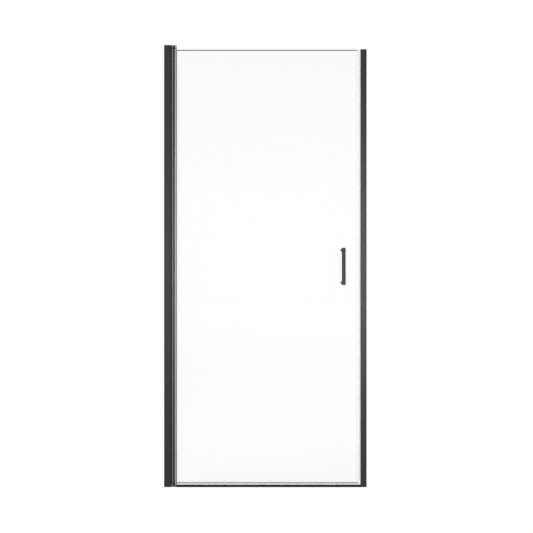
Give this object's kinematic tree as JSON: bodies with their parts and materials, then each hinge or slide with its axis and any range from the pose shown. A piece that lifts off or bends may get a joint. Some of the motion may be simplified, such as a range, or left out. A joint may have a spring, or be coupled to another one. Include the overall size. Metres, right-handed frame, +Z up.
{
  "type": "shower door",
  "caption": "Framed pivot shower door for an alcove: clear glass leaf on a full-height pivot rail between two wall profiles, with a low threshold and a pull handle.",
  "frame": {"origin": "on the shower tray under the threshold, halfway between the two walls, in the mid-plane of the glass", "axes": "+X from the hinge wall to the strike wall, +Y into the shower, +Z up"},
  "size_m": [0.838, 0.0615, 1.829],
  "materials": {
    "black_aluminium": "satin black powder coat",
    "black_casting": "satin black powder coat",
    "black_plastic": "fine grain",
    "steel": "bright",
    "nylon": "black, fine turned",
    "grey_pvc": "translucent grey",
    "clear_pvc": "clear",
    "magnet": "white coated magnet strip",
    "soft_black": "matt",
    "clear_glass": "clear toughened"
  },
  "bodies": {
    "door_frame": {"hinge_wall_profile": "black_aluminium", "hinge_post": "black_aluminium", "post_wiper_seal": "grey_pvc", "bottom_pivot_block": "black_casting", "top_pivot_block": "black_casting", "pivot_nose_trims": "grey_pvc", "bottom_pivot_pin": "steel", "top_pivot_pin": "steel", "pivot_block_screws": "steel", "hinge_profile_cap": "black_plastic", "strike_wall_profile": "black_aluminium", "strike_insert": "black_aluminium", "strike_magnet_seal": "grey_pvc", "strike_magnet": "magnet", "strike_profile_cap": "black_plastic", "frame_lock_screws": "steel", "frame_screw_caps": "black_plastic", "threshold_bar": "black_aluminium", "threshold_tape": "soft_black"},
    "door_leaf": {"door_rail": "black_aluminium", "bottom_rail_bush": "nylon", "top_rail_bush": "nylon", "front_grip_gasket": "grey_pvc", "rear_grip_gasket": "grey_pvc", "glass_setting_blocks": "soft_black", "glass_panel": "clear_glass", "door_magnet_seal": "clear_pvc", "door_magnet": "magnet", "drip_seal": "clear_pvc", "pull_handle": "black_casting", "handle_outer_washers": "clear_pvc", "handle_sleeves": "clear_pvc", "handle_inner_washers": "clear_pvc", "handle_screws": "steel", "handle_caps": "black_casting"}
  },
  "joints": [
    {"name": "door_swing", "type": "hinge", "parent": "door_frame", "child": "door_leaf", "pos_m": [-0.381, 0, 0.9145], "axis": [0, 0, -1], "range_deg": [0, 90]}
  ]
}
